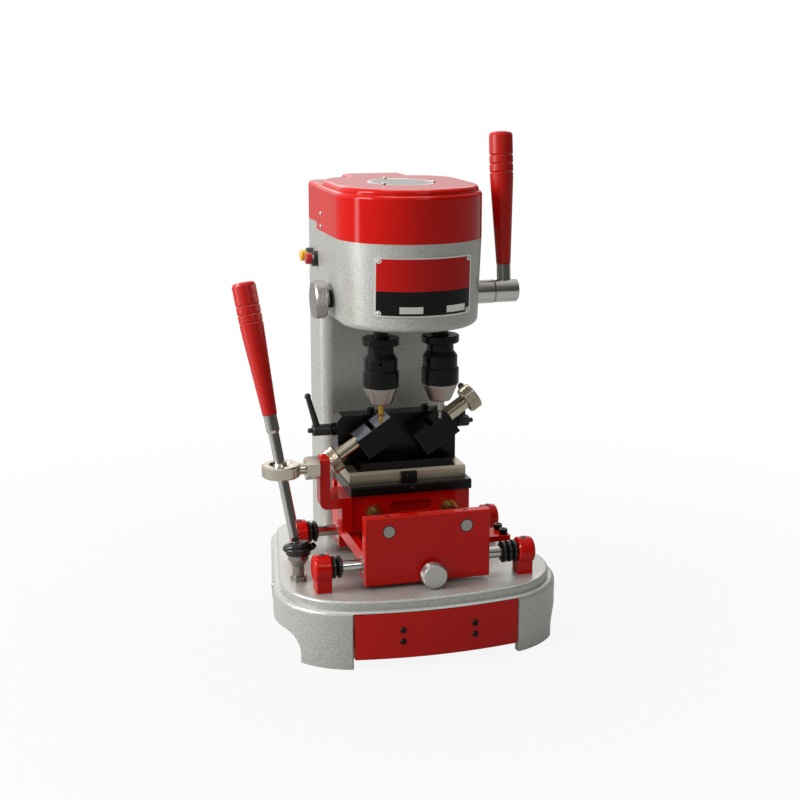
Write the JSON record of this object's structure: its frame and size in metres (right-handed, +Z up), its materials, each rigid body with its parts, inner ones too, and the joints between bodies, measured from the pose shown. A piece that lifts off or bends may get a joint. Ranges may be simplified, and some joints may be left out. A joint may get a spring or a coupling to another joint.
{
  "type": "key duplicating machine",
  "caption": "Vertical key duplicating machine with a cutter and a tracer chuck under a domed head, tilting key vises on a cross slide, a joystick lever, a feed lever and a base drawer.",
  "frame": {"origin": "on the bench at the centre of the bench bolts, under the midpoint of the two chuck axes", "axes": "+Z up, -Y towards the operator, +X to the operator's right"},
  "size_m": [0.3288, 0.2955, 0.5224],
  "materials": {
    "hammertone": "hammertone paint",
    "red_paint": "gloss enamel",
    "red_grip": "satin",
    "yellow_cap": "gloss",
    "black_metal": "black oxide",
    "black_plastic": "satin",
    "black_screw": "black oxide",
    "rubber": "matte",
    "chrome": "polished",
    "steel": "ground",
    "gold": "nitride coat",
    "brass": "turned",
    "plate": "printed"
  },
  "bodies": {
    "frame": {"base_casting": "hammertone", "column_casting": "hammertone", "rear_panel": "hammertone", "power_inlet": "black_plastic", "top_cover": "red_paint", "vent_grille": "steel", "frame_screws": "steel", "name_plate": "plate", "switch_bezels": "black_plastic", "feed_boss": "chrome", "lock_bush": "black_metal", "motor_housing": "black_metal", "drive_belt": "rubber", "pedestals": "red_paint", "x_rods": "chrome", "rubber_parts": "rubber", "lever_socket": "chrome"},
    "drawer": {"drawer_front": "red_paint", "drawer_screws": "black_screw", "drawer_tray": "steel"},
    "x_carriage": {"lower_carriage": "red_paint", "carriage_screws": "black_screw", "x_bushings": "steel", "y_rods": "chrome"},
    "carriage_lock": {"carriage_lock_knob": "steel"},
    "y_carriage": {"upper_carriage": "red_paint", "brass_bushings": "brass", "cross_plate": "black_metal", "steel_table": "steel", "vise_carrier": "black_metal", "lever_bracket": "red_paint", "rod_end": "chrome"},
    "quill": {"quills": "steel", "quill_yoke": "steel", "tracer_spindle": "steel", "tracer_chuck": "black_metal", "tracer": "steel"},
    "cutter_spindle": {"cutter_spindle": "steel", "cutter_chuck": "black_metal", "cutter": "gold"},
    "spindle_pulley": {"spindle_pulley": "steel"},
    "motor": {"motor_rotor": "steel"},
    "feed_lever": {"feed_shaft": "chrome", "feed_grip": "red_grip"},
    "quill_lock": {"quill_lock_knob": "steel"},
    "stop_button": {"stop_button": "red_grip"},
    "start_button": {"start_button": "yellow_cap"},
    "lever_ball": {"lever_ball": "chrome"},
    "joystick": {"lever_rod": "chrome", "lever_grip": "red_grip"},
    "left_vise": {"left_vise_body": "black_metal", "left_fixed_jaw": "steel"},
    "left_jaw": {"left_moving_jaw": "steel"},
    "left_screw": {"left_clamp_screw": "chrome"},
    "left_clamp": {"left_clamp_lever": "black_plastic"},
    "right_vise": {"right_vise_body": "black_metal", "right_fixed_jaw": "black_metal"},
    "right_jaw": {"right_moving_jaw": "black_metal"},
    "right_screw": {"right_clamp_screw": "chrome"},
    "right_clamp": {"right_clamp_lever": "black_plastic"}
  },
  "joints": [
    {"name": "drawer_slide", "type": "slide", "parent": "frame", "child": "drawer", "axis": [0, -1, 0], "range_m": [0, 0.11]},
    {"name": "x_slide", "type": "slide", "parent": "frame", "child": "x_carriage", "axis": [1, 0, 0], "range_m": [-0.021, 0.015]},
    {"name": "y_slide", "type": "slide", "parent": "x_carriage", "child": "y_carriage", "axis": [0, 1, 0], "range_m": [-0.03, 0.01]},
    {"name": "carriage_lock_turn", "type": "hinge", "parent": "x_carriage", "child": "carriage_lock", "pos_m": [0.0035, -0.06705, 0.0825], "axis": [0, -1, 0], "range_deg": [-90, 90]},
    {"name": "left_vise_tilt", "type": "hinge", "parent": "y_carriage", "child": "left_vise", "pos_m": [-0.032, 0.04, 0.2095], "axis": [0, -1, 0], "range_deg": [-79, 2]},
    {"name": "left_jaw_slide", "type": "slide", "parent": "left_vise", "child": "left_jaw", "axis": [0.829, 0, 0.5592], "range_m": [-0.0028, 0.0055]},
    {"name": "left_screw_turn", "type": "hinge", "parent": "left_jaw", "child": "left_screw", "pos_m": [-0.03379, 0.026, 0.21215], "axis": [0.829, 0, 0.5592], "range_deg": [-673, 1321]},
    {"name": "left_clamp_turn", "type": "hinge", "parent": "y_carriage", "child": "left_clamp", "pos_m": [-0.069, 0.05115, 0.21], "axis": [1, 0, 0], "range_deg": [-30, 30]},
    {"name": "right_vise_tilt", "type": "hinge", "parent": "y_carriage", "child": "right_vise", "pos_m": [0.032, 0.04, 0.2095], "axis": [0, -1, 0], "range_deg": [-59, 11]},
    {"name": "right_jaw_slide", "type": "slide", "parent": "right_vise", "child": "right_jaw", "axis": [-0.829, 0, -0.5592], "range_m": [-0.0028, 0.0055]},
    {"name": "right_screw_turn", "type": "hinge", "parent": "right_jaw", "child": "right_screw", "pos_m": [0.03021, 0.026, 0.21215], "axis": [-0.829, 0, -0.5592], "range_deg": [-673, 1321]},
    {"name": "right_clamp_turn", "type": "hinge", "parent": "y_carriage", "child": "right_clamp", "pos_m": [0.062, 0.05115, 0.21], "axis": [1, 0, 0], "range_deg": [-50, 8]},
    {"name": "quill_feed", "type": "slide", "parent": "frame", "child": "quill", "axis": [0, 0, -1], "range_m": [0, 0.0137]},
    {"name": "feed_lever_swing", "type": "hinge", "parent": "frame", "child": "feed_lever", "pos_m": [0, 0.028, 0.356], "axis": [1, 0, 0], "range_deg": [0, 65]},
    {"name": "motor_spin", "type": "hinge", "parent": "frame", "child": "motor", "pos_m": [0, 0.098, 0.424], "axis": [0, 0, 1], "continuous": true},
    {"name": "pulley_spin", "type": "hinge", "parent": "frame", "child": "spindle_pulley", "pos_m": [-0.032, 0, 0.424], "axis": [0, 0, 1], "continuous": true},
    {"name": "cutter_spin", "type": "hinge", "parent": "quill", "child": "cutter_spindle", "pos_m": [-0.032, 0, 0.2476], "axis": [0, 0, 1], "continuous": true},
    {"name": "quill_lock_turn", "type": "hinge", "parent": "frame", "child": "quill_lock", "pos_m": [-0.076, 0.046, 0.352], "axis": [-1, 0, 0], "range_deg": [-90, 90]},
    {"name": "stop_button_press", "type": "slide", "parent": "frame", "child": "stop_button", "axis": [1, 0, 0], "range_m": [0, 0.003], "stiffness_N_per_m": 400},
    {"name": "start_button_press", "type": "slide", "parent": "frame", "child": "start_button", "axis": [1, 0, 0], "range_m": [0, 0.003], "stiffness_N_per_m": 400},
    {"name": "lever_sway", "type": "hinge", "parent": "frame", "child": "lever_ball", "pos_m": [-0.1255, -0.018, 0.097], "axis": [0, 1, 0], "range_deg": [-15, 11]},
    {"name": "lever_pitch", "type": "hinge", "parent": "lever_ball", "child": "joystick", "pos_m": [-0.1255, -0.018, 0.097], "axis": [0.9896, 0, 0.1438], "range_deg": [-8, 21]}
  ],
  "couplings": [
    {"joint": "left_screw_turn", "follows": "left_jaw_slide", "rad_per_m": 4188.8},
    {"joint": "right_screw_turn", "follows": "right_jaw_slide", "rad_per_m": 4188.8},
    {"joint": "quill_feed", "follows": "feed_lever_swing", "m_per_rad": 0.012},
    {"joint": "pulley_spin", "follows": "motor_spin", "ratio": 0.81818},
    {"joint": "cutter_spin", "follows": "motor_spin", "ratio": 0.81818},
    {"joint": "lever_sway", "follows": "x_slide", "rad_per_m": 11.256},
    {"joint": "lever_pitch", "follows": "y_slide", "rad_per_m": -11.256}
  ]
}
